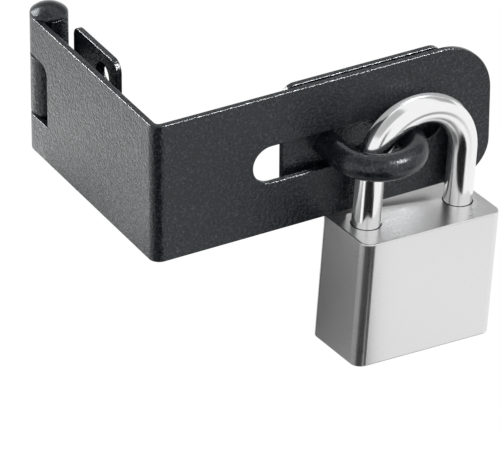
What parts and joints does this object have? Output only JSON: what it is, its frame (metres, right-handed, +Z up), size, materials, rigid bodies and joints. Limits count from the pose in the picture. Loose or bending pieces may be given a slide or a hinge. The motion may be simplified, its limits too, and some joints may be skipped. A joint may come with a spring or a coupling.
{
  "type": "right-angle hasp with padlock",
  "caption": "Right-angle hasp with slotted arm, hinged leaf and looped staple plate, held shut by a block padlock hanging on the staple.",
  "frame": {"origin": "middle of the staple plate's mounting face", "axes": "+X along the arm's slotted leg to its free end, +Y into the wall behind the staple plate, +Z up"},
  "size_m": [0.0999, 0.0912, 0.0829],
  "materials": {
    "black_powder_coat": "fine sandy texture",
    "polished_steel": "polished",
    "satin_stainless": "satin",
    "cylinder_brass": "machined",
    "plain_steel": "bright"
  },
  "bodies": {
    "hasp": {"hasp_arm": "black_powder_coat", "hinge_pin": "black_powder_coat", "staple_plate": "black_powder_coat", "staple_loop": "black_powder_coat"},
    "leaf": {"hinge_leaf": "black_powder_coat"},
    "padlock": {"padlock_body": "satin_stainless", "shackle": "polished_steel", "shackle_spring": "plain_steel", "locking_ball_toe": "plain_steel", "locking_ball_heel": "plain_steel", "cylinder_housing": "cylinder_brass", "cylinder_set_screw": "plain_steel"},
    "plug": {"cylinder_plug": "cylinder_brass", "locking_cam": "plain_steel", "plug_clip": "plain_steel", "wafer_1": "cylinder_brass", "wafer_2": "cylinder_brass", "wafer_3": "cylinder_brass", "wafer_4": "cylinder_brass", "wafer_5": "cylinder_brass", "wafer_6": "cylinder_brass", "wafer_spring_1": "plain_steel", "wafer_spring_2": "plain_steel", "wafer_spring_3": "plain_steel", "wafer_spring_4": "plain_steel", "wafer_spring_5": "plain_steel", "wafer_spring_6": "plain_steel"}
  },
  "joints": [
    {"name": "leaf_swing", "type": "hinge", "parent": "hasp", "child": "leaf", "pos_m": [-0.05825, 0.0618, 0.00025], "axis": [0, 0, 1], "range_deg": [-8, 180]},
    {"name": "padlock_swing", "type": "hinge", "parent": "hasp", "child": "padlock", "pos_m": [0.00885, -0.0109, 0.0036], "axis": [0, 1, 0], "range_deg": [-8, 0.5]},
    {"name": "plug_turn", "type": "hinge", "parent": "padlock", "child": "plug", "pos_m": [0.00916, -0.01087, -0.03261], "axis": [0.0731, 0.0051, 0.9973], "range_deg": [0, 90]}
  ]
}
